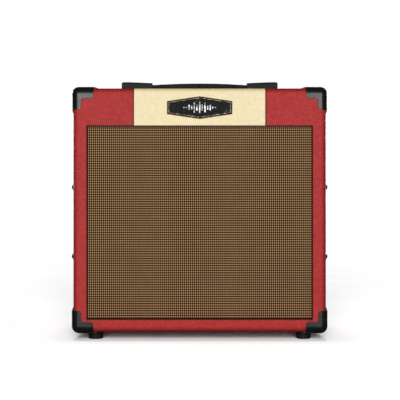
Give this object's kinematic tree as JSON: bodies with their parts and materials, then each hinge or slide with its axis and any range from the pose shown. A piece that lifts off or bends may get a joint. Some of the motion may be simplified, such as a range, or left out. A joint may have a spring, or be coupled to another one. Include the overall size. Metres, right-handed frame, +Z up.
{
  "type": "guitar combo amplifier",
  "caption": "Small combo guitar amplifier: vinyl-covered wooden cabinet with cloth grille, loudspeaker, recessed controls, corner protectors and strap handle.",
  "frame": {"origin": "on the floor under the middle of the cabinet, at the feet's lowest plane", "axes": "+Z up, the grille faces -Y, +X to the right seen from the front"},
  "size_m": [0.3618, 0.2097, 0.3666],
  "materials": {
    "birch_plywood": "raw sanded plywood",
    "black_board": "board painted matt black",
    "red_vinyl": "grained red vinyl covering, semi-matt",
    "cream_vinyl": "grained cream vinyl covering, semi-matt",
    "grille_weave": "open woven tan and dark brown grille cloth",
    "corner_plastic": "moulded black plastic, low sheen",
    "foot_rubber": "black moulded rubber",
    "strap_leather": "black leather grain strap",
    "badge_enamel": "gloss black",
    "badge_metal": "polished bright line and bars",
    "screw_nickel": "nickel plated",
    "black_screw": "black oxide",
    "zinc_steel": "zinc plated sheet steel",
    "panel_enamel": null,
    "knob_plastic": "black moulded knob with a pale pointer",
    "switch_plastic": "black nylon",
    "button_plastic": "pale moulded button",
    "lamp_lens": "red translucent lens",
    "socket_plastic": "black moulded socket",
    "green_board": "green circuit board lacquer",
    "part_sleeve": "dark shrink sleeve",
    "transformer_steel": "varnished steel laminations",
    "transformer_tape": "amber polyester tape",
    "basket_enamel": "black painted pressed steel",
    "magnet_ferrite": "dark grey ferrite",
    "cone_paper": "dark felted paper",
    "surround_cloth": "doped black cloth",
    "spider_cloth": "amber resin treated cloth",
    "gasket_card": "dark grey card",
    "coil_aluminium": "thin aluminium former",
    "tag_brass": "tinned brass",
    "wire_sleeve": "black insulation"
  },
  "bodies": {
    "cabinet": {"cabinet_top_board": "birch_plywood", "cabinet_bottom_board": "birch_plywood", "cabinet_left_side": "birch_plywood", "cabinet_right_side": "birch_plywood", "header_board": "birch_plywood", "battens": "birch_plywood", "baffle_board": "black_board", "upper_back_panel": "black_board", "lower_back_panel": "black_board", "grille_frame": "black_board", "grille_cloth": "grille_weave", "red_vinyl_covering": "red_vinyl", "cream_vinyl_stripe": "cream_vinyl", "corner_protectors": "corner_plastic", "rubber_feet": "foot_rubber", "wood_screws": "black_screw", "cup_washers": "screw_nickel", "chassis_bolts": "screw_nickel", "handle_end_caps": "corner_plastic", "handle_fixings": "screw_nickel", "badge_plate": "badge_enamel", "badge_inlay": "badge_metal", "chassis_tray": "zinc_steel", "control_panel": "panel_enamel", "panel_nuts": "screw_nickel", "signal_jacks": "socket_plastic", "potentiometers": "zinc_steel", "rocker_housing": "switch_plastic", "power_lamp": "lamp_lens", "mains_inlet": "socket_plastic", "fuse_holder": "socket_plastic", "circuit_board": "green_board", "board_components": "part_sleeve", "transformer_core": "transformer_steel", "transformer_coil": "transformer_tape", "speaker_gasket": "gasket_card", "speaker_basket": "basket_enamel", "speaker_magnet": "magnet_ferrite", "speaker_pole_pieces": "zinc_steel", "speaker_surround": "surround_cloth", "speaker_spider": "spider_cloth", "speaker_screws": "black_screw", "speaker_terminals": "tag_brass", "speaker_lead": "wire_sleeve"},
    "strap_grip": {"strap_grip": "strap_leather"},
    "strap_flex_left": {"strap_flex_left": "strap_leather"},
    "strap_flex_right": {"strap_flex_right": "strap_leather"},
    "strap_end_left": {"strap_end_left": "strap_leather"},
    "strap_end_right": {"strap_end_right": "strap_leather"},
    "power_rocker": {"power_rocker": "switch_plastic"},
    "channel_button": {"channel_button": "button_plastic"},
    "speaker_cone": {"speaker_cone": "cone_paper", "dust_cap": "cone_paper", "voice_coil": "coil_aluminium"},
    "clean_volume_knob": {"clean_volume_knob": "knob_plastic"},
    "drive_gain_knob": {"drive_gain_knob": "knob_plastic"},
    "drive_level_knob": {"drive_level_knob": "knob_plastic"},
    "treble_knob": {"treble_knob": "knob_plastic"},
    "middle_knob": {"middle_knob": "knob_plastic"},
    "bass_knob": {"bass_knob": "knob_plastic"}
  },
  "joints": [
    {"name": "clean_volume_turn", "type": "hinge", "parent": "cabinet", "child": "clean_volume_knob", "pos_m": [0.103, 0.046, 0.3372], "axis": [0, 0, 1], "range_deg": [-150, 150]},
    {"name": "drive_gain_turn", "type": "hinge", "parent": "cabinet", "child": "drive_gain_knob", "pos_m": [0.067, 0.046, 0.3372], "axis": [0, 0, 1], "range_deg": [-150, 150]},
    {"name": "drive_level_turn", "type": "hinge", "parent": "cabinet", "child": "drive_level_knob", "pos_m": [0.043, 0.046, 0.3372], "axis": [0, 0, 1], "range_deg": [-150, 150]},
    {"name": "treble_turn", "type": "hinge", "parent": "cabinet", "child": "treble_knob", "pos_m": [0.019, 0.046, 0.3372], "axis": [0, 0, 1], "range_deg": [-150, 150]},
    {"name": "middle_turn", "type": "hinge", "parent": "cabinet", "child": "middle_knob", "pos_m": [-0.005, 0.046, 0.3372], "axis": [0, 0, 1], "range_deg": [-150, 150]},
    {"name": "bass_turn", "type": "hinge", "parent": "cabinet", "child": "bass_knob", "pos_m": [-0.029, 0.046, 0.3372], "axis": [0, 0, 1], "range_deg": [-150, 150]},
    {"name": "power_rock", "type": "hinge", "parent": "cabinet", "child": "power_rocker", "pos_m": [-0.117, 0.046, 0.3362], "axis": [1, 0, 0], "range_deg": [0, 16]},
    {"name": "channel_press", "type": "slide", "parent": "cabinet", "child": "channel_button", "axis": [0, 0, -1], "range_m": [0, 0.0025], "stiffness_N_per_m": 500},
    {"name": "cone_travel", "type": "slide", "parent": "cabinet", "child": "speaker_cone", "axis": [0, -1, 0], "range_m": [-0.0025, 0.0025], "stiffness_N_per_m": 1800, "deforming": ["speaker_surround", "speaker_spider"]},
    {"name": "handle_lift", "type": "slide", "parent": "cabinet", "child": "strap_grip", "axis": [0, 0, 1], "range_m": [0, 0.025]},
    {"name": "strap_flex_left_bend", "type": "hinge", "parent": "strap_grip", "child": "strap_flex_left", "pos_m": [-0.032, -0.04, 0.36], "axis": [0, 1, 0], "range_deg": [-45, 0]},
    {"name": "strap_end_left_bend", "type": "hinge", "parent": "strap_flex_left", "child": "strap_end_left", "pos_m": [-0.068, -0.04, 0.36], "axis": [0, 1, 0], "range_deg": [0, 45]},
    {"name": "strap_flex_right_bend", "type": "hinge", "parent": "strap_grip", "child": "strap_flex_right", "pos_m": [0.032, -0.04, 0.36], "axis": [0, 1, 0], "range_deg": [0, 45]},
    {"name": "strap_end_right_bend", "type": "hinge", "parent": "strap_flex_right", "child": "strap_end_right", "pos_m": [0.068, -0.04, 0.36], "axis": [0, 1, 0], "range_deg": [-45, 0]}
  ],
  "couplings": [
    {"joint": "strap_flex_left_bend", "follows": "handle_lift", "rad_per_m": -30.7},
    {"joint": "strap_end_left_bend", "follows": "handle_lift", "rad_per_m": 30.7},
    {"joint": "strap_flex_right_bend", "follows": "handle_lift", "rad_per_m": 30.7},
    {"joint": "strap_end_right_bend", "follows": "handle_lift", "rad_per_m": -30.7}
  ]
}
